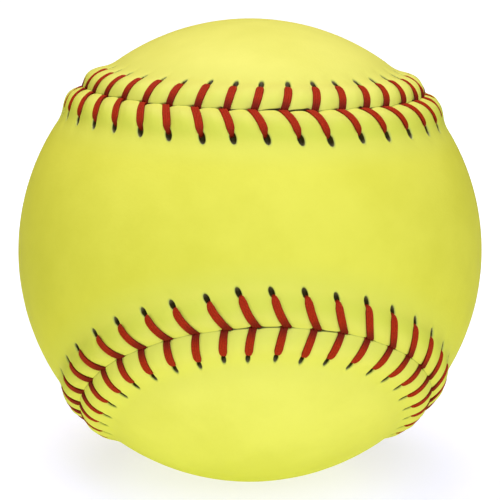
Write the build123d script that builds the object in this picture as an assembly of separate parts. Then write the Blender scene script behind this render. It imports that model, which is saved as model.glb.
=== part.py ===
from build123d import *
import os
from math import asin, atan2, cos, degrees, radians, sin, sqrt, tan

# A twelve inch softball: a moulded core, two figure-eight leather panels cemented to it,
# and two waxed threads that lace the panels together through punched holes.
# Millimetres. The origin is the centre of the ball and +Z is up.

# Ball
ball_radius = 48.5             # smooth cover, 304.8 mm around
leather_thickness = 1.3
cement_thickness = 0.15
cement_clearance = 0.02        # left on each side of a film of cement
waist_lean = 20.0              # degrees: the front panel's waist leans up from -Y by this

# Seam, laid out on the ball in tangent circular arcs (degrees, seen from the ball's centre)
waist_half_angle = 25.0        # half the width of a panel's waist
tip_arc_angle = 45.8           # angular radius of the arc round the tip of a lobe
flank_arc_angle = 63.1         # angular radius of the flatter arcs on either side of it
seam_gap = 0.3                 # between the two lips, away from the stitches

# Raised lips, measured across the cover from the seam (reach) and out from the ball (rise)
lip_reach = 9.0                # the cover begins to rise here
lip_root_slant = 0.4           # the joint with the smooth cover slants out by this, under the leather
lip_crest_reach = 3.0
lip_crest_rise = 1.3
lip_edge_rise = 0.4            # top of the lip at the seam
lip_edge_thickness = 0.55      # the lip is skived thinner at its edge

# Stitches
stitch_count = 88              # on each panel
stitch_phase = 0.7             # along the seam, from its start to the first hole
front_lead = 2.8               # along the seam, from a hole to where its leg dives
back_lead = 1.3
hole_reach = 5.3               # where a thread comes up through the leather
hole_inner = 4.65              # the punched hole runs from here
hole_outer = 6.85              # to here, away from the seam
hole_width = 1.24
notch_width = 1.24             # opening between the lips where two threads dive
cutter_rise = 3.0              # cutters reach this far above and below the cover

# Thread
thread_diameter = 1.0
thread_clearance = 0.08        # from the surface that it lies on
hole_lift = 0.12               # extra height of the turns of its centreline, before they are rounded
crest_lift = 0.27
dive_lift = 0.45
under_lift = 0.12
turn_radius = 0.62             # of its centreline at a hole and at the seam
crest_turn_radius = 3.0
tail_gap = 0.5                 # half the gap between its two tucked ends

# Sizes that follow from the ones above
leather_inner_radius = ball_radius - leather_thickness
cement_outer_radius = leather_inner_radius - cement_clearance
cement_inner_radius = cement_outer_radius - cement_thickness
core_radius = cement_inner_radius - cement_clearance
lip_root_reach = lip_reach + lip_root_slant
thread_ride = thread_diameter / 2 + thread_clearance
under_rise = core_radius + thread_ride + under_lift - ball_radius

# Points of the seam before the ball is leant: the waist of the front panel faces -Y,
# its lobes lie along X, and the lobes of the back panel lie along Z.
waist_angle = radians(waist_half_angle)
tip_angle = radians(tip_arc_angle)
flank_angle = radians(flank_arc_angle)
tip_axis = Vector(0, -cos(waist_angle + tip_angle), sin(waist_angle + tip_angle))
quarter_start = Vector(1, 0, 1).normalized()


def flank_axis_through(point):
    """Axis of the flank arc that passes through a point and touches the tip arc."""
    along = tip_axis.dot(point)
    to_tip = cos(flank_angle - tip_angle)
    to_point = cos(flank_angle)
    tip_part = (to_tip - along * to_point) / (1 - along**2)
    point_part = (to_point - along * to_tip) / (1 - along**2)
    in_plane = tip_axis * tip_part + point * point_part
    lift = sqrt((1 - in_plane.dot(in_plane)) / (1 - along**2))
    choices = [in_plane + tip_axis.cross(point) * (lift * sign) for sign in (1, -1)]
    return max(choices, key=lambda axis: axis.Y)


def mirrored(point):
    return Vector(-point.X, point.Y, point.Z)


def next_quarter(point):
    """Turn by a quarter about Y and mirror in Y, which lays the seam on itself."""
    return Vector(-point.Z, -point.Y, point.X)


def angle_about(axis, start, end):
    """Signed angle that turns start to end about an axis."""
    start_arm = start - axis * axis.dot(start)
    end_arm = end - axis * axis.dot(end)
    return atan2(axis.dot(start_arm.cross(end_arm)), start_arm.dot(end_arm))


flank_axis = flank_axis_through(quarter_start)
touch_point = tip_axis * sin(flank_angle) - flank_axis * sin(tip_angle)
touch_point = touch_point * (1 / sin(flank_angle - tip_angle))
stops = [quarter_start, touch_point, mirrored(touch_point), mirrored(quarter_start)]
axes = [flank_axis, tip_axis, mirrored(flank_axis)]
seam_arcs = []                 # axis that the seam turns about, first point, angle, length
for quarter in range(4):
    for axis, first, last in zip(axes, stops, stops[1:]):
        angle = angle_about(axis, first, last)
        turn_axis = axis if angle > 0 else -axis
        seam_arcs.append((turn_axis, first, abs(angle), ball_radius * abs(angle) * turn_axis.cross(first).length))
    stops = [next_quarter(point) for point in stops]
    axes = [next_quarter(point) for point in axes]
seam_length = sum(arc[3] for arc in seam_arcs)
stitch_pitch = seam_length / stitch_count


def seam_place(along):
    """Turning axis, and outward, forward and sideways (to the front panel) directions on the seam."""
    along = along % seam_length
    for axis, first, angle, length in seam_arcs:
        if along <= length:
            break
        along -= length
    outward = first.rotate(Axis((0, 0, 0), axis), degrees(angle * along / length))
    forward = axis.cross(outward).normalized()
    return axis, outward, forward, outward.cross(forward)


def on_cover(along, reach, rise):
    """Point at a length along the seam, a reach across the cover and a rise out from it."""
    axis, outward, forward, sideways = seam_place(along)
    lean = reach / ball_radius
    return (outward * cos(lean) + sideways * sin(lean)) * (ball_radius + rise)


def spun(section):
    """Turn a section, drawn across the seam, along every arc of the seam."""
    solids = []
    for axis, first, angle, length in seam_arcs:
        heading = axis.cross(first).normalized()
        section_plane = Plane(origin=(0, 0, 0), x_dir=first.cross(heading), z_dir=heading)
        solids.append(Solid.revolve(section_plane * section, degrees(angle), Axis((0, 0, 0), axis)))
    return solids


def across(reach, rise):
    """Point of a section across the seam."""
    lean = reach / ball_radius
    return Vector((ball_radius + rise) * sin(lean), (ball_radius + rise) * cos(lean))


# Section of a lip: it leaves the ball tangent at its toe, turns over at half height,
# crests, and falls to the seam. The toe and flank arcs have one radius.
turnover_reach = (lip_reach + lip_crest_reach) / 2
flank_radius = ((lip_reach - turnover_reach) ** 2 + (lip_crest_rise / 2) ** 2) / lip_crest_rise
flank_slope = asin((lip_reach - turnover_reach) / flank_radius)
edge_reach = seam_gap / 2
edge_drop = lip_crest_rise - lip_edge_rise
nose_radius = ((lip_crest_reach - edge_reach) ** 2 + edge_drop**2) / (2 * edge_drop)
nose_slope = asin((lip_crest_reach - edge_reach) / nose_radius)


def toe_point(slope, depth):
    radius = flank_radius + depth
    return across(lip_reach - radius * sin(slope), flank_radius - radius * cos(slope))


def flank_rise(reach):
    return lip_crest_rise - flank_radius + sqrt(flank_radius**2 - (reach - lip_crest_reach) ** 2)


def flank_point(slope, depth):
    radius = flank_radius - depth
    return across(lip_crest_reach + radius * sin(slope), lip_crest_rise - flank_radius + radius * cos(slope))


def nose_point(slope):
    return across(lip_crest_reach - nose_radius * sin(slope), lip_crest_rise - nose_radius * (1 - cos(slope)))


def arc_of(point, slopes, *depth):
    return ThreePointArc(*[point(flank_slope * part, *depth) for part in slopes])


def lip_section():
    """Section of the back panel's lip, on the negative side of the seam."""
    underside = leather_thickness
    edge_foot = across(edge_reach, lip_edge_rise - lip_edge_thickness)
    root = across(lip_root_reach, -underside)
    root_middle = across((lip_reach + lip_root_reach) / 2, -underside)
    with BuildSketch() as sketch:
        with BuildLine():
            arc_of(toe_point, (0, 0.5, 1), 0)
            arc_of(flank_point, (1, 0.5, 0), 0)
            ThreePointArc(nose_point(0), nose_point(nose_slope / 2), nose_point(nose_slope))
            Polyline(nose_point(nose_slope), edge_foot, flank_point(0, underside))
            arc_of(flank_point, (0, 0.5, 1), underside)
            arc_of(toe_point, (1, 0.5, 0), underside)
            ThreePointArc(toe_point(0, underside), root_middle, root)
            Line(root, toe_point(0, 0))
        make_face()
    return sketch.face().mirror(Plane.YZ)


def band_section():
    """Section of the band of smooth cover that the two lips replace."""
    top = across(lip_reach, 0)
    root = across(lip_root_reach, -leather_thickness)
    outer = top + (top - root)
    inner = root + (root - top)
    with BuildSketch() as sketch:
        with BuildLine():
            Polyline((-outer.X, outer.Y), (-inner.X, inner.Y), inner, outer, close=True)
        make_face()
    return sketch.face()


# The poles and the closing line of these spheres stay inside the back panel
back_plane = Plane(origin=(0, 0, 0), x_dir=(0, 1, 0), z_dir=(0, 0, 1))
to_front = Axis((0, 0, 0), (1, 0, 1))
band_parts = spun(band_section())
band = band_parts[0].fuse(*band_parts[1:])


def smooth_field(outer_radius, inner_radius):
    """The back panel's share of a hollow ball, up to the roots of the lips."""
    hollow = Solid.make_sphere(outer_radius, back_plane).cut(Solid.make_sphere(inner_radius, back_plane))
    return hollow.cut(band).solids().sort_by(Axis.Y)[-1]


def opening(along, length, near_reach, far_reach):
    """Cutter through the leather, for a length of the seam and between two reaches from it."""
    axis, outward, forward, sideways = seam_place(along)
    middle = across((near_reach + far_reach) / 2, 0)
    half_size = (across(far_reach, 0) - across(near_reach, 0)) * 0.5
    height = middle.normalized() * cutter_rise
    corners = [middle + half_size + height, middle - half_size + height, middle - half_size - height,
               middle + half_size - height]
    plane = Plane(origin=(0, 0, 0), x_dir=sideways, z_dir=forward)
    angle = degrees(length / axis.cross(plane.from_local_coords(middle)).length)
    section = plane * make_face(Polyline(*corners, close=True))
    turn_axis = Axis((0, 0, 0), axis)
    return Solid.revolve(section.face(), angle, turn_axis).rotate(turn_axis, -angle / 2)


# Stitch number n has a hole in each panel at one length along the seam. Its two legs dive
# between the lips a little further on, the front one after the back one.
leads = {1: front_lead, -1: back_lead}
hole_lengths = [stitch_phase + stitch_pitch * number for number in range(stitch_count)]
notch_lead = (front_lead + back_lead) / 2
notch_length = abs(front_lead - back_lead) + notch_width


def leg_point(along, side, reach, rise):
    """Point above the line on the cover from a hole to where its leg dives."""
    return on_cover(along + leads[side] * (1 - reach / hole_reach), side * reach, rise)


def stitch_corners(along, side):
    """Turns of a thread's centreline at one stitch, from under the hole to under the dive."""
    dive = along + leads[side]
    return [
        (on_cover(along, side * hole_reach, under_rise), turn_radius),
        (on_cover(along, side * hole_reach, flank_rise(hole_reach) + thread_ride + hole_lift), turn_radius),
        (leg_point(along, side, lip_crest_reach, lip_crest_rise + thread_ride + crest_lift), crest_turn_radius),
        (on_cover(dive, 0, lip_edge_rise + thread_ride + dive_lift), turn_radius),
        (on_cover(dive, 0, under_rise), turn_radius),
    ]


def rounded_path(corners, start, end):
    """Straight runs joined by tangent arcs through a list of corners and radii."""
    edges = []
    points = [start] + [corner for corner, radius in corners] + [end]
    here = start
    for before, (corner, radius), after in zip(points, corners, points[2:]):
        back = (before - corner).normalized()
        onward = (after - corner).normalized()
        half_angle = back.get_angle(onward) / 2
        inward = (back + onward).normalized()
        tangent = radius / tan(radians(half_angle))
        middle = corner + inward * (radius / sin(radians(half_angle)) - radius)
        edges.append(Edge.make_line(here, corner + back * tangent))
        edges.append(Edge.make_three_point_arc(corner + back * tangent, middle, corner + onward * tangent))
        here = corner + onward * tangent
    edges.append(Edge.make_line(here, end))
    return Wire(edges)


def thread(first_side):
    """One thread: it takes a hole in one panel and then the next hole in the other, all round."""
    corners = []
    for number, along in enumerate(hole_lengths):
        side = first_side if number % 2 == 0 else -first_side
        corners += stitch_corners(along, side)
    tuck = (corners[0][0] + corners[-1][0]) * 0.5
    tail = (corners[0][0] - corners[-1][0]).normalized() * tail_gap
    path = rounded_path(corners, tuck + tail, tuck - tail)
    section = Plane(origin=path @ 0, z_dir=path % 0) * Circle(thread_diameter / 2)
    return Solid.sweep(section.face(), path)


def panel(direction):
    """A panel in the back panel's place, its stitches counted forward (1) or backward (-1)."""
    lips = []
    start = 0
    for lip, arc in zip(spun(lip_section()), seam_arcs):
        end = start + arc[3]
        cutters = []
        for along in hole_lengths:
            hole = direction * along % seam_length
            notch = direction * (along + notch_lead) % seam_length
            if start - notch_length < hole < end + notch_length:
                cutters.append(opening(hole, hole_width, -hole_inner, -hole_outer))
            if start - notch_length < notch < end + notch_length:
                cutters.append(opening(notch, notch_length, -notch_width / 2, notch_width / 2))
        lips.append(lip.cut(*cutters))
        start = end
    return smooth_field(ball_radius, leather_inner_radius).fuse(*lips)


back_panel = panel(1)
front_panel = panel(-1).rotate(to_front, 180)
back_cement = smooth_field(cement_outer_radius, cement_inner_radius)
front_cement = back_cement.rotate(to_front, 180)
core = Solid.make_sphere(core_radius)

pieces = {
    "core": core,
    "front_cement": front_cement,
    "back_cement": back_cement,
    "front_panel": front_panel,
    "back_panel": back_panel,
    "thread_one": thread(1),
    "thread_two": thread(-1),
}
os.makedirs("parts", exist_ok=True)
for name, piece in pieces.items():
    export_step(piece.rotate(Axis.X, -waist_lean), f"parts/{name}.step")
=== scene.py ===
from math import cos, pi, radians, sin, sqrt

import bmesh
import bpy
import numpy as np
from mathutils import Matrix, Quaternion, Vector


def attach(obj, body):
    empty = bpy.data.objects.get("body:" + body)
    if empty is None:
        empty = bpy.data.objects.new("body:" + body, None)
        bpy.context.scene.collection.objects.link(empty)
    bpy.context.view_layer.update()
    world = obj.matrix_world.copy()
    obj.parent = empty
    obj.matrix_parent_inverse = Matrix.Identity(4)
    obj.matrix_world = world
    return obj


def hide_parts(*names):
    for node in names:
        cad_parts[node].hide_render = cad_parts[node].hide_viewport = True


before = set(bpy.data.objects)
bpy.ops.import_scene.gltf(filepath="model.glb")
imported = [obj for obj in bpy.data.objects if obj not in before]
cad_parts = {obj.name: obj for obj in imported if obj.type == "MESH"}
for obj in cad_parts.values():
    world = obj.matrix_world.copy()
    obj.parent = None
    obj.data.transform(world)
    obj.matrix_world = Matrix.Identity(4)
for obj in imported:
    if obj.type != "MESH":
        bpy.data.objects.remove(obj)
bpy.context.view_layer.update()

# Sizes in millimetres and degrees, as in the solids. Points become metres when a mesh is written.
MM = 0.001
BALL = 48.5  # radius of the smooth cover
LEATHER = 1.3
WAIST_LEAN = 20.0
WAIST_HALF_ANGLE = 25.0
TIP_ARC = 45.8  # angular radius of the seam's arcs round the tips of the lobes
FLANK_ARC = 63.1  # and of the arcs that join them
STITCHES = 88
LIP_REACH = 9.0  # from the seam to the foot of a lip
CREST_REACH = 3.0
CREST_RISE = 1.3
TURNOVER_REACH = (LIP_REACH + CREST_REACH) / 2
FLANK_RADIUS = ((LIP_REACH - TURNOVER_REACH) ** 2 + (CREST_RISE / 2) ** 2) / CREST_RISE
FRONT = 1
BACK = -1


# The seam: twelve tangent arcs on the ball

def unit(v):
    return v / np.linalg.norm(v)


def unit_rows(v):
    return v / np.linalg.norm(v, axis=1)[:, None]


def lay_out_seam():
    """Axis, first point, angle and length of each arc of the seam, with the ball not yet leant."""
    waist, tip, flank = (radians(a) for a in (WAIST_HALF_ANGLE, TIP_ARC, FLANK_ARC))
    tip_axis = np.array([0, -cos(waist + tip), sin(waist + tip)])
    start = unit(np.array([1.0, 0, 1.0]))
    along = tip_axis @ start
    to_tip, to_start = cos(flank - tip), cos(flank)
    in_plane = tip_axis * (to_tip - along * to_start) + start * (to_start - along * to_tip)
    in_plane = in_plane / (1 - along**2)
    lift = sqrt((1 - in_plane @ in_plane) / (1 - along**2))
    choices = [in_plane + np.cross(tip_axis, start) * lift * sign for sign in (1, -1)]
    flank_axis = max(choices, key=lambda a: a[1])
    touch = (tip_axis * sin(flank) - flank_axis * sin(tip)) / sin(flank - tip)
    flip = np.array([-1, 1, 1])
    stops = [start, touch, touch * flip, start * flip]
    axes = [flank_axis, tip_axis, flank_axis * flip]
    arcs = []
    for _ in range(4):
        for axis, first, last in zip(axes, stops, stops[1:]):
            arm, end = first - axis * (axis @ first), last - axis * (axis @ last)
            angle = np.arctan2(axis @ np.cross(arm, end), arm @ end)
            length = BALL * abs(angle) * np.linalg.norm(arm)
            arcs.append((axis * np.sign(angle), first, abs(angle), length))
        stops = [np.array([-p[2], -p[1], p[0]]) for p in stops]
        axes = [np.array([-p[2], -p[1], p[0]]) for p in axes]
    return arcs


SEAM = lay_out_seam()
SEAM_LENGTH = sum(arc[3] for arc in SEAM)
PITCH = SEAM_LENGTH / STITCHES
UPPER_MIDDLE = 1 / 8  # shares of the seam at the middles of the two runs that face the camera
LOWER_MIDDLE = 5 / 8


def seam_directions(along):
    """Outward, forward and sideways (to the front panel) at lengths along the seam, with the ball leant."""
    along = np.asarray(along, float) % SEAM_LENGTH
    outward = np.zeros(along.shape + (3,))
    forward = np.zeros(along.shape + (3,))
    start = 0.0
    for axis, first, angle, length in SEAM:
        here = (along >= start) & (along <= start + length)
        turn = ((along[here] - start) / length * angle)[:, None]
        out = first * np.cos(turn) + np.cross(axis, first) * np.sin(turn)
        out = out + axis * (axis @ first) * (1 - np.cos(turn))
        outward[here] = out
        forward[here] = unit_rows(np.cross(axis, out))
        start += length
    lean = radians(WAIST_LEAN)
    turn = np.array([[1, 0, 0], [0, cos(lean), sin(lean)], [0, -sin(lean), cos(lean)]])
    outward, forward = outward @ turn.T, forward @ turn.T
    return outward, forward, np.cross(outward, forward)


def on_ball(along, reach, rise):
    """Points at lengths along the seam, reaches across the cover and rises out from it."""
    outward, _, sideways = seam_directions(along)
    lean = np.asarray(reach / BALL)[..., None]
    return (outward * np.cos(lean) + sideways * np.sin(lean)) * (BALL + np.asarray(rise))[..., None]


# Curves that the shapes are made of

def turn_along(along, start, times=1):
    """An angle that goes round a number of times in one trip round the seam."""
    return 2 * pi * times * (along - start * SEAM_LENGTH) / SEAM_LENGTH


def wrapped(length):
    """A length along the seam, taken the short way round."""
    return (length + SEAM_LENGTH / 2) % SEAM_LENGTH - SEAM_LENGTH / 2


def step(low, high, x):
    t = np.clip((x - low) / (high - low), 0, 1)
    return t * t * (3 - 2 * t)


def bell(x, spread, power=2):
    return np.exp(-((x / spread) ** power))


def upper_share(along):
    """1 in the middle of the seam's upper run, 0 in the middle of its lower run."""
    return (1 + np.cos(turn_along(along, UPPER_MIDDLE))) / 2


# The stitches: hand-pulled, so each differs a little from the next

STITCH_PHASE = 0.95
SPACING_SWING = 1.3  # the stitches crowd and spread four times round the seam
SLOW_SHIFT = 0.75
HOLE_REACH = 5.2  # where a leg comes up out of the leather
HOLE_CENTRE = 6.35  # of the slit that the thread has pulled open
HOLE_HALF_LENGTH = 1.2
HOLE_HALF_WIDTH = 0.55
HOLE_ASIDE = 0.15  # of the slit from the line of its leg
DIVE_LEAD = 2.0  # usual length along the seam from a hole to the dive of its leg
LEG_BEND = 0.5
HAND_SHIFT = 0.13  # spreads of the draws
HAND_LEAD = 0.14
HAND_REACH = 0.16
RUN_SPREAD = 60.0  # length over which a run keeps its own habits
LATE = 0.7  # how late the back holes come
LATE_SWING = 1.2  # and how much that changes along the upper run
LATE_TURN = 30.0  # length over which it changes there
LATE_GROWTH = 25.0  # length over which it sets in on the lower run
LEFT_FROM = 5.0  # from the middle of the upper run to where its left part begins
LEFT_FULL = 25.0
SHORTER = 0.4  # share that is cut from the slits of that part
PULLED_IN = 0.4  # and how much nearer to the seam they are

hand = np.random.RandomState(12)
hole_along = STITCH_PHASE + PITCH * np.arange(STITCHES)
hole_along = (
    hole_along
    - SPACING_SWING * np.sin(turn_along(hole_along, UPPER_MIDDLE, 4))
    + SLOW_SHIFT * np.cos(turn_along(hole_along, UPPER_MIDDLE))
)
lower_share = 1 - upper_share(hole_along)
from_top = wrapped(hole_along - UPPER_MIDDLE * SEAM_LENGTH)
from_bottom = wrapped(hole_along - LOWER_MIDDLE * SEAM_LENGTH)
top_left = np.clip((from_top - LEFT_FROM) / (LEFT_FULL - LEFT_FROM), 0, 1) * bell(from_top, RUN_SPREAD)
# The back holes come late: on the upper run more so to the left, on the lower run to the right.
late = (LATE + LATE_SWING * np.tanh(from_top / LATE_TURN)) * bell(from_top, RUN_SPREAD)
late = late + LATE * np.clip(from_bottom / LATE_GROWTH, 0, 1) * bell(from_bottom, RUN_SPREAD)


def by_run(upper, lower):
    """A value for each stitch, from that of the upper run to that of the lower one."""
    return upper + (lower - upper) * lower_share


hole_shift = {
    FRONT: hand.normal(0, HAND_SHIFT, STITCHES) + by_run(0, -0.35),
    BACK: hand.normal(0, HAND_SHIFT, STITCHES) + by_run(0, 0.6) + late,
}
lead = {
    FRONT: by_run(2.35, 2.6) + hand.normal(0, HAND_LEAD, STITCHES),
    BACK: by_run(1.75, 1.1) + hand.normal(0, HAND_LEAD, STITCHES) - late,
}
reach_shift = {
    FRONT: hand.normal(0, HAND_REACH, STITCHES),
    BACK: hand.normal(0, HAND_REACH, STITCHES) + by_run(0, -0.25),
}
hole_centre = {
    FRONT: np.full(STITCHES, HOLE_CENTRE),
    BACK: HOLE_CENTRE + by_run(0.2, 0) - PULLED_IN * top_left,
}
hole_size = {FRONT: by_run(1.08, 0.91), BACK: by_run(1.08, 0.91) * (1 - SHORTER * top_left)}


def leg_course(side, number, reach):
    """How far a stitch's leg has moved on along the seam at a reach from it, and its slant there."""
    number = np.asarray(number) % STITCHES
    part = 1 - reach / HOLE_REACH
    inside = np.maximum(part, 0)
    bent = (1 - LEG_BEND) * part + LEG_BEND * inside**2
    slant = lead[side][number] * (1 - LEG_BEND + 2 * LEG_BEND * inside) / HOLE_REACH
    return hole_shift[side][number] + lead[side][number] * bent, slant


def past_leg(side, number, along, reach):
    """Length along the seam from a stitch's leg to each point, and the leg's slant."""
    course, slant = leg_course(side, number, reach)
    return wrapped(along - hole_along[number % STITCHES] - course), slant


def stitches_near(along):
    """Numbers of the stitches that can be nearest to each place."""
    base = np.floor((along - STITCH_PHASE) / PITCH).astype(int)
    return base - 1, base, base + 1


def stitch_share(along):
    """How far a place lies on the way from one dive of the legs (0) to the next (1)."""
    knots = np.concatenate([hole_along + SEAM_LENGTH * lap for lap in (-1, 0, 1)]) + DIVE_LEAD
    turns = np.interp(along, knots, np.arange(len(knots)))
    return turns - np.floor(turns)


# The leather: a lip along the seam, shaped by the stitches

NOSE_FALL = 0.5  # of the lip from its crest to the seam
UPPER_NOSE_FALL = 0.4  # added on the upper run
NOSE_POWER = 2.2
PILLOW_RISE = 0.36  # of the lip between two legs
UPPER_PILLOW_RISE = 0.28
PILLOW_REACH = 2.7
PILLOW_SPREAD = 2.4
PILLOW_EDGE = 2.1  # distance from a leg at which the lip is nearly full
GROOVE_DEPTH = 0.30  # under a leg
GROOVE_HALF_WIDTH = 0.95
GROOVE_FULL = 5.0
GROOVE_END = 6.4
DRAW_DEPTH = 0.26  # round a hole
DRAW_RINGS = 2.3
RIM_RISE = 0.07
RIM_RING = 1.3
RIM_SPREAD = 0.28
PIT_DEPTH = 0.95
NO_RING = 9.0  # ring number away from any hole, where 1 is the rim
SWAY = 0.04
UPPER_SWAY = 0.26
WANDER = 0.06
SWAY_FADE = 1.6  # reach over which a lip follows the sway of its edge
AFTER_DIVE = 0.25  # shares of a stitch over which the lips gape beside a dive
BEFORE_DIVE = 0.35
# Places where the lips gape all along: share of the seam, shift from there, half length, how far
GAPES = ((UPPER_MIDDLE, -2.8, 5.0, 1.2), (LOWER_MIDDLE, -3.0, 6.0, 0.6), (LOWER_MIDDLE, 10.0, 2.5, 0.6))


def lip_rise(along, reach):
    """Plain section of a lip. It falls further to the seam on the upper run, where the lips stand apart."""
    toe = FLANK_RADIUS - np.sqrt(np.maximum(FLANK_RADIUS**2 - (LIP_REACH - reach) ** 2, 0))
    drop = np.sqrt(np.maximum(FLANK_RADIUS**2 - (reach - CREST_REACH) ** 2, 0))
    flank = CREST_RISE - FLANK_RADIUS + drop
    fall = NOSE_FALL + UPPER_NOSE_FALL * upper_share(along)
    nose = CREST_RISE - fall * np.abs(1 - reach / CREST_REACH) ** NOSE_POWER
    rise = np.where(reach < CREST_REACH, nose, np.where(reach < TURNOVER_REACH, flank, toe))
    return np.where(reach >= LIP_REACH, 0.0, rise)


def crease_open(along):
    """How far the lips gape: beside the dives of the upper run, and all along in a few places."""
    share = stitch_share(along)
    beside = bell(share, AFTER_DIVE) + bell(1 - share, BEFORE_DIVE)
    waves = 0.7 + 0.3 * np.sin(turn_along(along, 0, 37)) + 0.25 * np.sin(turn_along(along, 0.1, 59))
    gape = np.clip(beside * waves, 0, 1) * upper_share(along) ** 2
    for start, shift, half, much in GAPES:
        place = bell(along - start * SEAM_LENGTH - shift, half, 4)
        gape = np.maximum(gape, much * place * (0.7 + 0.3 * np.clip(beside, 0, 1)))
    return gape


def seam_sway(along):
    """The line where the lips meet slants from stitch to stitch on the upper run, and wanders a little."""
    share = stitch_share(along)
    saw = (2 * share - 1) * step(0, 0.18, share) * step(1, 0.82, share)
    wander = WANDER * np.sin(turn_along(along, 0.1, 31))
    return (SWAY + UPPER_SWAY * upper_share(along)) * saw + wander


def nearest_leg(side, along, reach):
    """Distance to the nearest leg, ring number of its hole, and the way along that (1 at the outer end)."""
    near = np.full(along.shape, np.inf)
    ring = np.full(along.shape, NO_RING)
    far = np.zeros(along.shape)
    for number in stitches_near(along):
        past, slant = past_leg(side, number, along, reach)
        number = number % STITCHES
        stretch = np.sqrt(1 + slant**2)
        aside = past / stretch
        onward = (reach - hole_centre[side][number] - reach_shift[side][number]) * stretch
        long = HOLE_HALF_LENGTH * hole_size[side][number]
        wide = HOLE_HALF_WIDTH * hole_size[side][number]
        this_ring = np.sqrt((onward / long) ** 2 + ((aside + HOLE_ASIDE) / wide) ** 2)
        far = np.where(this_ring < ring, onward / long, far)
        ring = np.minimum(ring, this_ring)
        near = np.minimum(near, np.abs(aside))
    return near, ring, far


def leather_rise(side, along, reach):
    """Height of the leather: the lip, pressed down under each leg, drawn in at each hole, full between."""
    near, ring, far = nearest_leg(side, along, reach)
    pillow = (PILLOW_RISE + UPPER_PILLOW_RISE * upper_share(along)) * bell(reach - PILLOW_REACH, PILLOW_SPREAD)
    under_leg = bell(near, GROOVE_HALF_WIDTH, 3) * step(GROOVE_END, GROOVE_FULL, reach)
    rise = lip_rise(along, reach) + pillow * (1 - bell(near, PILLOW_EDGE))
    rise -= GROOVE_DEPTH * under_leg + DRAW_DEPTH * bell(ring, DRAW_RINGS)
    rise += RIM_RISE * bell(ring - RIM_RING, RIM_SPREAD) * step(4.8, 5.8, reach)
    rise -= PIT_DEPTH * step(1.08, 0.6, ring) * step(4.7, 5.3, reach)
    return rise, ring, far


# Mesh helpers

def deselect():
    if bpy.context.mode != "OBJECT":
        bpy.ops.object.mode_set(mode="OBJECT")
    bpy.ops.object.select_all(action="DESELECT")


def grid_piece(name, columns, rows):
    """A grid primitive, with the column and row of each of its points."""
    deselect()
    bpy.ops.mesh.primitive_grid_add(x_subdivisions=columns, y_subdivisions=rows, size=1.0)
    piece = bpy.context.object
    piece.name = piece.data.name = name
    co = np.zeros(len(piece.data.vertices) * 3)
    piece.data.vertices.foreach_get("co", co)
    co = co.reshape(-1, 3) + 0.5
    column = np.rint(co[:, 0] * columns).astype(int)
    row = np.rint(co[:, 1] * rows).astype(int)
    return piece, column, row


def set_points(piece, points):
    piece.data.vertices.foreach_set("co", (points * MM).ravel())
    piece.data.update()


def add_attribute(piece, name, values):
    attribute = piece.data.attributes.new(name, "FLOAT", "POINT")
    attribute.data.foreach_set("value", np.asarray(values, float))


def weld_all(distance):
    bpy.ops.object.mode_set(mode="EDIT")
    bpy.ops.mesh.select_all(action="SELECT")
    bpy.ops.mesh.remove_doubles(threshold=distance)


def close_up():
    """Turns the faces outward and goes back to a smooth object."""
    bpy.ops.mesh.select_all(action="SELECT")
    bpy.ops.mesh.normals_make_consistent(inside=False)
    bpy.ops.object.mode_set(mode="OBJECT")
    bpy.ops.object.shade_smooth()


# Leather panels

COLUMNS_PER_STITCH = 24
COLUMNS = STITCHES * COLUMNS_PER_STITCH
# Shares of a stitch at which its columns stand: closest beside the legs
HALF_SHARES = [0, 0.022, 0.045, 0.068, 0.091, 0.115, 0.145, 0.185, 0.235, 0.30, 0.37, 0.44]
COLUMN_SHARE = np.array(HALF_SHARES + [0.5] + [1 - share for share in HALF_SHARES[:0:-1]])
COURSE_END = 7.5  # reach up to which the columns follow the legs
EVEN_FROM = 7.4
EVEN_AT = 9.4
# Reach of each row across a lip: closest at the seam and round the holes
NEAR_ROWS = [0.0, 0.0, 0.06, 0.18, 0.4, 0.7, 1.05, 1.45, 1.9, 2.4, 2.9, 3.4, 3.85]
HOLE_ROWS = list(np.arange(4.2, 8.21, 0.2))
TOE_ROWS = [8.5, 8.9, 9.3, 9.6]
ROWS = np.array(NEAR_ROWS + HOLE_ROWS + TOE_ROWS)
TOP_EDGE = 0.06  # reach from which the lip has its full section
EDGE_FOOT = -0.32  # rise of the foot of the cut edge
EDGE_DROP = 0.03
EDGE_GAPE_DROP = 0.1
GAP = 0.008  # half of the gap between shut lips
GAPE = 0.13  # added where they gape
GAP_FADE = 0.5
DIVE_SPREAD = 0.26  # how far a diving leg pushes the lips apart
DIVE_LENGTH = 0.75
DIVE_FADE = 0.9
HOLE_FROM = 4.6  # reach inside which nothing counts as a hole
FIELD_GROUP = 8
FIELD_RING = COLUMNS // FIELD_GROUP
FIELD_ACROSS = FIELD_RING // 6
FIELD_LONG = FIELD_RING // 3
EVENING_TURNS = 8
# Rings that lead from the lip to the smooth field: reach, columns that meet
OUTER_RINGS = ((10.3, 2), (11.2, 4), (12.4, FIELD_GROUP))
# Rings of the under side, hollow below the lip: reach, rise, columns that meet
UNDER_RINGS = (
    (0.5, -0.36, 2), (1.2, -0.30, 4), (3.0, -0.25, 8),
    (5.0, -0.8, 8), (6.2, -1.15, 8), (9.4, -LEATHER, FIELD_GROUP),
)
OUTER_LIMIT = (BALL - 0.2) * MM
ROW_WELD = 1e-7
FIELD_WELD = 1e-6


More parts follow.
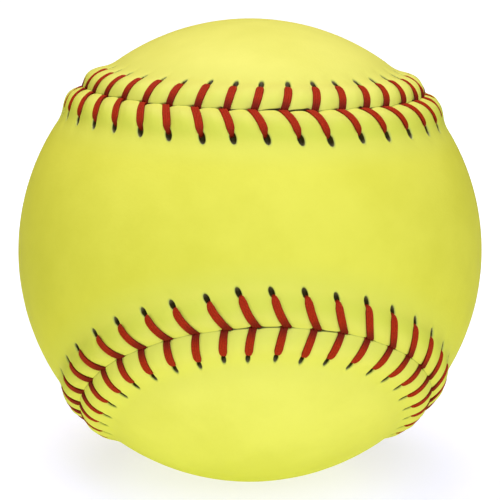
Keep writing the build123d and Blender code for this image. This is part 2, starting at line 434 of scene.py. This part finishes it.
def column_along(side, column, reach):
    """Length along the seam of each column: columns follow the legs, and even out at the toe."""
    number, place = column // COLUMNS_PER_STITCH, column % COLUMNS_PER_STITCH
    held = np.minimum(reach, COURSE_END)
    here = hole_along[number % STITCHES] + leg_course(side, number, held)[0]
    there = hole_along[(number + 1) % STITCHES] + leg_course(side, number + 1, held)[0]
    even = step(EVEN_FROM, EVEN_AT, reach)
    share = COLUMN_SHARE[place] * (1 - even) + place / COLUMNS_PER_STITCH * even
    return (here + (there - here) % SEAM_LENGTH * share) % SEAM_LENGTH


def draw_border_on(piece, side, outer, reach, rise, group):
    """Extrudes the open border to a new reach, and merges its points where a group of columns meets."""
    bpy.ops.mesh.select_all(action="DESELECT")
    bpy.ops.mesh.select_mode(type="EDGE")
    mesh = bmesh.from_edit_mesh(piece.data)
    for edge in mesh.edges:
        if len(edge.link_faces) == 1 and (edge.verts[0].co.length > OUTER_LIMIT) == outer:
            edge.select_set(True)
    bpy.ops.mesh.extrude_edges_move()
    mesh = bmesh.from_edit_mesh(piece.data)
    layer, reach_layer = mesh.verts.layers.float["column"], mesh.verts.layers.float["seam_reach"]
    border = [v for v in mesh.verts if v.select]
    columns = np.rint([v[layer] for v in border]).astype(int) // group * group
    along = column_along(side, columns, np.full(len(border), reach))
    places = on_ball(along, np.full(len(border), side * reach), np.full(len(border), rise)) * MM
    for v, column, place in zip(border, columns, places):
        v[layer], v[reach_layer] = column, reach
        v.co = place
    bmesh.update_edit_mesh(piece.data)
    bpy.ops.mesh.remove_doubles(threshold=ROW_WELD)


def field_points(side, reach, rise):
    """The figure-eight inside a border as a net of points: rows across it, evened out on the ball."""
    first = (3 if side == FRONT else 1) * FIELD_RING // 8 - FIELD_ACROSS // 2
    i, j = np.arange(FIELD_LONG + 1), np.arange(FIELD_ACROSS + 1)

    def border(index):
        along = column_along(side, (index % FIELD_RING) * FIELD_GROUP, np.full(index.shape, reach))
        return on_ball(along, np.full(along.shape, side * reach), np.full(along.shape, rise))

    low, high = border(first - i), border(first + FIELD_ACROSS + i)
    share = (j / FIELD_ACROSS)[None, :, None]
    angle = np.arccos(np.sum(low * high, axis=1) / (BALL + rise) ** 2)[:, None, None]
    net = low[:, None] * np.sin((1 - share) * angle) + high[:, None] * np.sin(share * angle)
    net = net / np.sin(angle)
    near, far = border(first + j), border(first - FIELD_LONG - j)
    fade = (np.clip(1 - i / (FIELD_LONG / 2), 0, 1) ** 2)[:, None, None]
    net = net + (near - net[0])[None] * fade + (far - net[-1])[None] * fade[::-1]
    net[0], net[-1], net[:, 0], net[:, -1] = near, far, low, high
    for _ in range(EVENING_TURNS):
        inner = (net[:-2, 1:-1] + net[2:, 1:-1] + net[1:-1, :-2] + net[1:-1, 2:]) / 4
        net[1:-1, 1:-1] = inner / np.linalg.norm(inner, axis=2)[:, :, None] * (BALL + rise)
    return net


def field_grid(name, side, reach, rise):
    """The smooth field of a panel, as a grid laid on the ball."""
    piece, i, j = grid_piece(name, FIELD_LONG, FIELD_ACROSS)
    points = field_points(side, reach, rise)[i, j]
    set_points(piece, points)
    add_attribute(piece, "column", np.zeros(len(i)))
    seam_line = seam_directions(np.arange(0, SEAM_LENGTH, 0.5))[0]
    to_seam = BALL * np.arccos(np.max(unit_rows(points) @ seam_line.T, axis=1))
    add_attribute(piece, "seam_reach", to_seam)
    for value, much in (("hole_ring", NO_RING), ("hole_far", 0.0), ("crease_open", 0.0)):
        add_attribute(piece, value, np.full(len(i), much))
    return piece


def leather_panel(name, side):
    """A closed leather panel: outer lip and field, cut edge, and under side."""
    piece, column, row = grid_piece(name, COLUMNS, len(ROWS) - 1)
    reach = ROWS[row]
    along = column_along(side, column % COLUMNS, reach)
    gape = crease_open(along)
    rise, ring, far = leather_rise(side, along, np.maximum(reach, TOP_EDGE))
    edge_rise = rise - EDGE_DROP - EDGE_GAPE_DROP * gape
    rise = np.where(row == 0, EDGE_FOOT, np.where(row == 1, edge_rise, rise))
    dive_near = np.full(along.shape, np.inf)
    for leg_side in (FRONT, BACK):
        for number in stitches_near(along):
            past, _ = past_leg(leg_side, number, along, np.zeros(along.shape))
            dive_near = np.minimum(dive_near, np.abs(past))
    spread = DIVE_SPREAD * bell(dive_near, DIVE_LENGTH) * np.exp(-reach / DIVE_FADE)
    gap = (GAP + GAPE * gape) * np.exp(-reach / GAP_FADE)
    across = side * (reach + gap + spread) + seam_sway(along) * np.exp(-reach / SWAY_FADE)
    set_points(piece, on_ball(along, across, rise))
    add_attribute(piece, "column", column % COLUMNS)
    add_attribute(piece, "seam_reach", np.where(row < 2, 0.0, reach))
    add_attribute(piece, "hole_ring", np.where(reach > HOLE_FROM, ring, NO_RING))
    add_attribute(piece, "hole_far", far)
    add_attribute(piece, "crease_open", gape)
    weld_all(ROW_WELD)
    for reach_on, group in OUTER_RINGS:
        draw_border_on(piece, side, True, reach_on, 0.0, group)
    for reach_on, rise_on, group in UNDER_RINGS:
        draw_border_on(piece, side, False, reach_on, rise_on, group)
    outer = field_grid("outer_field", side, OUTER_RINGS[-1][0], 0.0)
    inner = field_grid("inner_field", side, UNDER_RINGS[-1][0], -LEATHER)
    deselect()
    for part in (outer, inner, piece):
        part.select_set(True)
    bpy.context.view_layer.objects.active = piece
    bpy.ops.object.join()
    weld_all(FIELD_WELD)
    close_up()
    return piece


# Threads: three waxed plies side by side, pulled flat where they cross a lip

HALF_SECTION = [
    (-0.72, 0.0), (-0.67, 0.15), (-0.48, 0.26), (-0.31, 0.21), (-0.23, 0.15), (-0.13, 0.23),
    (0.0, 0.28), (0.13, 0.23), (0.23, 0.15), (0.31, 0.21), (0.48, 0.26), (0.67, 0.15),
]
FLATTENING = (1.12, 1.0)
PLY_SECTION = np.array(HALF_SECTION + [(-x, -y) for x, y in HALF_SECTION]) * FLATTENING
LEG_REACH = np.array(
    [5.7, 5.6, 5.4, 5.1, 4.7, 4.2, 3.7, 3.2, 2.7, 2.2, 1.7, 1.25, 0.9, 0.6, 0.35, 0.14, 0.02])
RIDE = 0.30  # of a leg's middle above the groove
BED_SPREAD = 2.6
HOLE_DIP = (1.35, 0.75, 0.15)  # of a leg's first points, in the hole
DIVE_DIP = (0.2, 0.55)  # and of its last ones, between the lips
HOLE_TAPER = 0.6  # share of its width that a leg has at its hole
SLANT_LIMIT = 0.65
HIDDEN_SHARE = np.array([0.0, 0.12, 0.4, 0.75, 0.95])
HIDDEN_RISE = np.array([-0.45, -0.85, -0.85, -0.85, -0.8])
HIDDEN_REACH = 5.5
HIDDEN_WIDTH = 0.7
HOLE_SHADE = 0.7
THREAD_WELD = 1e-8


def thread_leg(side, number):
    """Places along the seam, centre points and width directions of one leg, from its hole to its dive."""
    along = hole_along[number] + leg_course(side, np.full(LEG_REACH.shape, number), LEG_REACH)[0]
    rise = lip_rise(along, LEG_REACH) - GROOVE_DEPTH * step(GROOVE_END, GROOVE_FULL, LEG_REACH)
    rise = rise - DRAW_DEPTH * bell(LEG_REACH - HOLE_CENTRE, BED_SPREAD) + RIDE
    rise[:3] -= HOLE_DIP
    rise[-2:] -= DIVE_DIP
    reach = LEG_REACH + reach_shift[side][number] * step(2.0, 5.0, LEG_REACH)
    centre = on_ball(along, side * reach + seam_sway(along) * np.exp(-LEG_REACH / SWAY_FADE), rise)
    outward, forward, _ = seam_directions(along)
    tangent = unit_rows(np.gradient(centre, axis=0))
    square = unit_rows(np.cross(outward, tangent)) * side
    # towards the seam the ribbon's width turns to lie along the seam, so its end is cut slantwise
    turn = step(1.5, 0.1, LEG_REACH)[:, None]
    width = unit_rows(square * (1 - turn) + forward * turn)
    width /= np.maximum(np.sum(width * square, axis=1), SLANT_LIMIT)[:, None]
    taper = HOLE_TAPER + (1 - HOLE_TAPER) * step(5.8, 4.5, LEG_REACH)
    taper = taper * (1 - 0.1 * step(2.4, 0.2, LEG_REACH))
    return along, centre, width * taper[:, None]


def leg_shade(side, number):
    """Painted shade on a leg: darker in the valley, where no light falls, and at the front holes of the upper
    run.
    """
    low = lower_share[number]
    valley = step(3.2, 0.2, LEG_REACH)
    if side == BACK:
        return valley
    return np.maximum(low * valley, HOLE_SHADE * (1 - low) * step(3.4, 5.5, LEG_REACH))


def thread_route(first_side):
    """Centre points, width directions and shade of one thread, all round the seam."""
    centres, widths, shade = [], [], []
    for number in range(STITCHES):
        side = first_side if number % 2 == 0 else -first_side
        along, centre, width = thread_leg(side, number)
        centres.append(centre)
        widths.append(width)
        shade.append(leg_shade(side, number))
        # under the other lip to the next hole
        following = (number + 1) % STITCHES
        arrival = hole_along[following] + hole_shift[-side][following]
        hidden = along[-1] + (arrival - along[-1]) % SEAM_LENGTH * HIDDEN_SHARE
        centres.append(on_ball(hidden, -side * HIDDEN_REACH * HIDDEN_SHARE, HIDDEN_RISE))
        widths.append(seam_directions(hidden)[1] * HIDDEN_WIDTH)
        shade.append(np.ones(len(HIDDEN_SHARE)))
    return np.vstack(centres), np.vstack(widths), np.concatenate(shade)


def laced_thread(name, first_side):
    """A grid wrapped round the route of a thread, with its ends filled."""
    centres, widths, shade = thread_route(first_side)
    tangent = unit_rows(np.gradient(centres, axis=0))
    faces = unit_rows(np.cross(tangent, widths))
    count = len(PLY_SECTION)
    piece, column, row = grid_piece(name, count, len(centres) - 1)
    x, y = PLY_SECTION[column % count].T
    set_points(piece, centres[row] + widths[row] * x[:, None] + faces[row] * y[:, None])
    add_attribute(piece, "ply_height", np.abs(y))
    add_attribute(piece, "leg_shade", shade[row])
    weld_all(THREAD_WELD)
    bpy.ops.mesh.select_all(action="DESELECT")
    bpy.ops.mesh.select_mode(type="EDGE")
    bpy.ops.mesh.select_non_manifold()
    bpy.ops.mesh.fill_holes(sides=0)
    close_up()
    return piece


# Materials

LIP_TO_FLANK = (1.5, 4.6)  # reaches between which one painted lip shading turns into the next
FLANK_TO_TOE = (5.4, 7.6)
TOE_TO_FIELD = (7.5, 14.0)
# painted shade in the crease between the lips
CREASE_SHUT_SHADE = (0.66, 0.70, 0.08, 1)
CREASE_GAPE_SHADE = (0.09, 0.09, 0.02, 1)
# painted shade in the holes, lighter where painted light falls on their outer walls, and painted shade in a
# ring round them
HOLE_PIT_SHADE = (0.045, 0.033, 0.002, 1)
HOLE_OUTER_WALL_LIGHT = (0.20, 0.185, 0.05, 1)
HOLE_RING_SHADE = (0.60, 0.65, 0.08, 1)
RED_LOW = (0.30, 0.019, 0.0016, 1)
RED_HIGH = (0.52, 0.034, 0.0028, 1)
# painted shade on the thread: at its edges and between its plies, and on its legs
RED_PLY_SHADE = (0.16, 0.014, 0.002, 1)
RED_SHADE = (0.10, 0.010, 0.002, 1)
PEBBLE_SIZE = 1500.0


def new_material(name):
    material = bpy.data.materials.new(name)
    material.use_nodes = True
    nodes, links = material.node_tree.nodes, material.node_tree.links
    return material, nodes, links, nodes["Principled BSDF"]


def node(nodes, kind, **values):
    """A new node, with its settings and inputs by name."""
    made = nodes.new(kind)
    for key, value in values.items():
        if hasattr(made, key):
            setattr(made, key, value)
        else:
            made.inputs[key.replace("_", " ")].default_value = value
    return made


def grain_group():
    """Leather grain: small pebbles split by creases, with pores. Puts out a height and a mottle."""
    tree = bpy.data.node_groups.new("leather_grain", "ShaderNodeTree")
    tree.interface.new_socket("Size", in_out="INPUT", socket_type="NodeSocketFloat")
    tree.interface.new_socket("Height", in_out="OUTPUT", socket_type="NodeSocketFloat")
    tree.interface.new_socket("Mottle", in_out="OUTPUT", socket_type="NodeSocketFloat")
    nodes, links = tree.nodes, tree.links
    given, out = nodes.new("NodeGroupInput"), nodes.new("NodeGroupOutput")
    place = nodes.new("ShaderNodeTexCoord")
    warp = node(nodes, "ShaderNodeTexNoise", Scale=900.0, Detail=2.0)
    bend = node(nodes, "ShaderNodeMixRGB", blend_type="ADD", Fac=0.0006)
    links.new(place.outputs["Object"], warp.inputs["Vector"])
    links.new(place.outputs["Object"], bend.inputs["Color1"])
    links.new(warp.outputs["Color"], bend.inputs["Color2"])
    pebbles = node(nodes, "ShaderNodeTexVoronoi", feature="SMOOTH_F1", Smoothness=0.6)
    links.new(bend.outputs["Color"], pebbles.inputs["Vector"])
    links.new(given.outputs["Size"], pebbles.inputs["Scale"])
    pores = node(nodes, "ShaderNodeTexNoise", Scale=4200.0, Detail=3.0)
    links.new(place.outputs["Object"], pores.inputs["Vector"])
    height = node(nodes, "ShaderNodeMath", operation="MULTIPLY_ADD")
    height.inputs[1].default_value = -0.8
    links.new(pebbles.outputs["Distance"], height.inputs[0])
    links.new(pores.outputs["Fac"], height.inputs[2])
    links.new(height.outputs["Value"], out.inputs["Height"])
    mottle = node(nodes, "ShaderNodeTexNoise", Scale=55.0, Detail=5.0, Roughness=0.6)
    links.new(place.outputs["Object"], mottle.inputs["Vector"])
    links.new(mottle.outputs["Fac"], out.inputs["Mottle"])
    return tree


def attribute(nodes, name):
    return node(nodes, "ShaderNodeAttribute", attribute_name=name).outputs["Fac"]


def ramp(nodes, links, source, ends, low_colour, high_colour):
    """Colour that goes from one to another as a value passes from one end to the other."""
    spread = node(
        nodes, "ShaderNodeMapRange", interpolation_type="SMOOTHSTEP", From_Min=ends[0], From_Max=ends[1])
    links.new(source, spread.inputs["Value"])
    mix = nodes.new("ShaderNodeMixRGB")
    for socket, colour in (("Color1", low_colour), ("Color2", high_colour)):
        if isinstance(colour, tuple):
            mix.inputs[socket].default_value = colour
        else:
            links.new(colour, mix.inputs[socket])
    links.new(spread.outputs["Result"], mix.inputs["Fac"])
    return mix.outputs["Color"]


def roughen(nodes, links, shader, height, distance, strength=1.0):
    bump = node(nodes, "ShaderNodeBump", Strength=strength, Distance=distance)
    links.new(height, bump.inputs["Height"])
    links.new(bump.outputs["Normal"], shader.inputs["Normal"])


def cover_leather(name, grain, dyes, lip_flank_toe_shading):
    """One hide: its dye, in patches, and painted light and shade on the lip, its flank and the strip beyond
    that.
    """
    material, nodes, links, shader = new_material(name)
    pebble = nodes.new("ShaderNodeGroup")
    pebble.node_tree = grain
    pebble.inputs["Size"].default_value = PEBBLE_SIZE
    dye = ramp(nodes, links, pebble.outputs["Mottle"], (0.3, 0.7), *dyes)
    seam = attribute(nodes, "seam_reach")
    painted_lip_light_and_shade, painted_flank_shade, painted_toe_shade = lip_flank_toe_shading
    # painted light and shade by reach from the seam: colours for the lip, its down-facing flank and the valley
    # at its toe, mostly greener and darker than the dye
    toe = ramp(nodes, links, seam, TOE_TO_FIELD, painted_toe_shade, dye)
    flank = ramp(nodes, links, seam, FLANK_TO_TOE, painted_flank_shade, toe)
    with_painted_lip_shading = ramp(nodes, links, seam, LIP_TO_FLANK, painted_lip_light_and_shade, flank)
    # painted shade in the crease: olive where the lips are shut, nearly black where they gape
    edge = ramp(nodes, links, attribute(nodes, "crease_open"), (0.1, 0.8), CREASE_SHUT_SHADE, CREASE_GAPE_SHADE)
    crease = ramp(nodes, links, seam, (0.02, 0.14), edge, with_painted_lip_shading)
    hole = attribute(nodes, "hole_ring")
    # painted shade in each hole: nearly black deep in, with painted grey light on its outer wall
    hole_pit_shading = ramp(nodes, links, attribute(nodes, "hole_far"), (0.0, 0.95), HOLE_PIT_SHADE, HOLE_OUTER_WALL_LIGHT)
    # painted shade in a soft ring round each hole
    ring_shaded = ramp(nodes, links, hole, (1.0, 1.5), HOLE_RING_SHADE, crease)
    holed = ramp(nodes, links, hole, (0.92, 1.08), hole_pit_shading, ring_shaded)
    links.new(holed, shader.inputs["Base Color"])
    shine = node(nodes, "ShaderNodeMapRange", To_Min=0.52, To_Max=0.66)
    links.new(pebble.outputs["Mottle"], shine.inputs["Value"])
    links.new(shine.outputs["Result"], shader.inputs["Roughness"])
    roughen(nodes, links, shader, pebble.outputs["Height"], 0.00006, 0.35)
    shader.inputs["Specular IOR Level"].default_value = 0.05
    return material


def waxed_thread():
    """Red thread with fibres along it, with painted shade at its edges, between its plies and on its legs."""
    material, nodes, links, shader = new_material("waxed_red_thread")
    uv = nodes.new("ShaderNodeTexCoord")
    stretch = node(nodes, "ShaderNodeMapping", Scale=(34.0, 2600.0, 1.0))
    links.new(uv.outputs["UV"], stretch.inputs["Vector"])
    fibres = node(nodes, "ShaderNodeTexNoise", Scale=1.0, Detail=4.0)
    links.new(stretch.outputs["Vector"], fibres.inputs["Vector"])
    red = ramp(nodes, links, fibres.outputs["Fac"], (0.3, 0.7), RED_LOW, RED_HIGH)
    # painted shade where the section is low, at the edges and between the plies
    ply_shaded = ramp(nodes, links, attribute(nodes, "ply_height"), (0.04, 0.2), RED_PLY_SHADE, red)
    # painted shade on the legs: in the valley, and at the front holes of the upper run
    shaded = ramp(nodes, links, attribute(nodes, "leg_shade"), (0.0, 1.6), ply_shaded, RED_SHADE)
    links.new(shaded, shader.inputs["Base Color"])
    shader.inputs["Roughness"].default_value = 0.6
    shader.inputs["Specular IOR Level"].default_value = 0.06
    roughen(nodes, links, shader, fibres.outputs["Fac"], 0.00008, 0.4)
    return material


def plain_inside(name, colours, scale, rough):
    """Foam and dried cement, inside the cover."""
    material, nodes, links, shader = new_material(name)
    place = nodes.new("ShaderNodeTexCoord")
    cells = node(nodes, "ShaderNodeTexNoise", Scale=scale, Detail=4.0)
    links.new(place.outputs["Object"], cells.inputs["Vector"])
    links.new(ramp(nodes, links, cells.outputs["Fac"], (0.35, 0.65), *colours), shader.inputs["Base Color"])
    shader.inputs["Roughness"].default_value = rough
    roughen(nodes, links, shader, cells.outputs["Fac"], 0.0001)
    return material


def dress(piece, material, replaced):
    piece.data.materials.clear()
    piece.data.materials.append(material)
    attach(piece, "root")
    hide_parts(replaced)


grain = grain_group()
# each hide: two dyes for its patches, then painted light and shade for its lip, flank and toe
front_hide = cover_leather(
    "front_hide", grain,
    ((0.79, 0.785, 0.048, 1), (0.85, 0.845, 0.060, 1)),
    ((0.80, 0.805, 0.088, 1), (0.735, 0.775, 0.060, 1), (0.795, 0.81, 0.068, 1)))
back_hide = cover_leather(
    "back_hide", grain,
    ((0.85, 0.845, 0.095, 1), (0.91, 0.905, 0.115, 1)),
    ((0.80, 0.82, 0.085, 1), (0.84, 0.835, 0.10, 1), (0.84, 0.84, 0.098, 1)))
thread = waxed_thread()
dress(leather_panel("front_leather", FRONT), front_hide, "front_panel")
dress(leather_panel("back_leather", BACK), back_hide, "back_panel")
dress(laced_thread("first_lacing", FRONT), thread, "thread_one")
dress(laced_thread("second_lacing", BACK), thread, "thread_two")

foam = plain_inside("moulded_foam", ((0.62, 0.52, 0.34, 1), (0.72, 0.62, 0.44, 1)), 700.0, 0.8)
latex = plain_inside("dried_cement", ((0.66, 0.58, 0.36, 1), (0.78, 0.70, 0.50, 1)), 300.0, 0.55)
for name, material in (("core", foam), ("front_cement", latex), ("back_cement", latex)):
    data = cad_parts[name].data
    data.materials.clear()
    data.materials.append(material)


# Floor, light and camera, in metres and degrees

FLOOR_SIZE = 6.0
FLOOR_GAP = 0.0001
CAMERA_DISTANCE = 8.7  # in radii of the ball
CAMERA_AZIMUTH, CAMERA_ELEVATION, CAMERA_ROLL = -6.0, 12.0, 1.7
BALL_IN_PICTURE = 231.8 / 500


def choose_for_camera(nodes, links, others, camera, out):
    """One shader for camera rays and another for all other rays."""
    path = nodes.new("ShaderNodeLightPath")
    mix = nodes.new("ShaderNodeMixShader")
    links.new(path.outputs["Is Camera Ray"], mix.inputs["Fac"])
    links.new(others, mix.inputs[1])
    links.new(camera, mix.inputs[2])
    links.new(mix.outputs["Shader"], out.inputs["Surface"])


def white_floor():
    """For other rays, paper that the lamps light, tinted yellow-green, with a faint painted glow of its own
    that lights the ball from below. Camera rays see it glow full white, with the ball's shadow near the ball.
    """
    deselect()
    bpy.ops.mesh.primitive_plane_add(size=FLOOR_SIZE, location=(0, 0, -BALL * MM - FLOOR_GAP))
    floor = bpy.context.object
    floor.name = "floor"
    bpy.ops.object.transform_apply(location=True)
    material = bpy.data.materials.new("white_paper")
    material.use_nodes = True
    nodes, links = material.node_tree.nodes, material.node_tree.links
    nodes.clear()
    out = nodes.new("ShaderNodeOutputMaterial")
    # for other rays: yellow-green paper, with a painted glow of its own that lights the ball from below
    paper = node(nodes, "ShaderNodeBsdfDiffuse", Color=(0.84, 0.88, 0.58, 1))
    painted_glow = node(nodes, "ShaderNodeEmission", Color=(0.96, 0.99, 0.58, 1), Strength=0.30)
    paper_and_painted_glow = nodes.new("ShaderNodeAddShader")
    links.new(paper.outputs["BSDF"], paper_and_painted_glow.inputs[0])
    links.new(painted_glow.outputs["Emission"], paper_and_painted_glow.inputs[1])
    place = nodes.new("ShaderNodeTexCoord")
    away = node(nodes, "ShaderNodeVectorMath", operation="LENGTH")
    links.new(place.outputs["Object"], away.inputs[0])
    level = node(nodes, "ShaderNodeMapRange", From_Min=0.06, From_Max=0.3, To_Min=0.72, To_Max=1.0)
    links.new(away.outputs["Value"], level.inputs["Value"])
    faint = node(nodes, "ShaderNodeBsdfDiffuse", Color=(0.42, 0.42, 0.42, 1))
    glow = node(nodes, "ShaderNodeEmission", Color=(1, 1, 1, 1))
    links.new(level.outputs["Result"], glow.inputs["Strength"])
    both = nodes.new("ShaderNodeAddShader")
    links.new(faint.outputs["BSDF"], both.inputs[0])
    links.new(glow.outputs["Emission"], both.inputs[1])
    choose_for_camera(nodes, links, paper_and_painted_glow.outputs["Shader"], both.outputs["Shader"], out)
    floor.data.materials.append(material)


def soft_box(name, place, size, power, colour):
    """A rectangular lamp that faces the ball."""
    lamp = bpy.data.lights.new(name, "AREA")
    lamp.shape = "RECTANGLE"
    lamp.size, lamp.size_y = size
    lamp.energy = power
    lamp.color = colour
    holder = bpy.data.objects.new(name, lamp)
    bpy.context.scene.collection.objects.link(holder)
    holder.location = place
    holder.rotation_euler = (-Vector(place)).to_track_quat("-Z", "Y").to_euler()


def light_room():
    """A dim warm room that camera rays see as white, and four lamps."""
    world = bpy.data.worlds.new("studio")
    bpy.context.scene.world = world
    world.use_nodes = True
    nodes, links = world.node_tree.nodes, world.node_tree.links
    nodes.clear()
    out = nodes.new("ShaderNodeOutputWorld")
    room = node(nodes, "ShaderNodeBackground", Color=(1.0, 0.78, 0.4, 1), Strength=0.03)
    white = node(nodes, "ShaderNodeBackground", Color=(1, 1, 1, 1), Strength=1.0)
    choose_for_camera(nodes, links, room.outputs["Background"], white.outputs["Background"], out)
    soft_box("key", (0.045, -0.78, 0.72), (0.8, 0.8), 5.3, (0.97, 1.0, 2.3))
    soft_box("front", (0.03, -1.0, 0.1), (0.3, 0.6), 1.45, (0.97, 1.0, 3.0))
    soft_box("top", (-0.13, 0.06, 1.0), (0.7, 0.7), 6.8, (1.05, 0.95, 1.3))
    soft_box("side", (0.9, -0.25, 0.2), (0.5, 0.6), 0.5, (1.0, 0.9, 0.6))


def photo_camera():
    """A camera that sees the ball as large, as high and as turned as in the photograph."""
    azimuth, elevation, roll = radians(CAMERA_AZIMUTH), radians(CAMERA_ELEVATION), radians(CAMERA_ROLL)
    camera = bpy.data.cameras.new("photo_camera")
    camera.sensor_width = 36.0
    camera.lens = BALL_IN_PICTURE * sqrt(CAMERA_DISTANCE**2 - 1) * camera.sensor_width
    camera.clip_start, camera.clip_end = 0.01, 20.0
    holder = bpy.data.objects.new("photo_camera", camera)
    bpy.context.scene.collection.objects.link(holder)
    back = Vector((sin(azimuth) * cos(elevation), -cos(azimuth) * cos(elevation), sin(elevation)))
    holder.location = back * CAMERA_DISTANCE * BALL * MM
    holder.rotation_euler = (back.to_track_quat("Z", "Y") @ Quaternion((0, 0, 1), roll)).to_euler()
    bpy.context.scene.camera = holder


white_floor()
light_room()
photo_camera()
bpy.context.scene.view_settings.view_transform = "Standard"
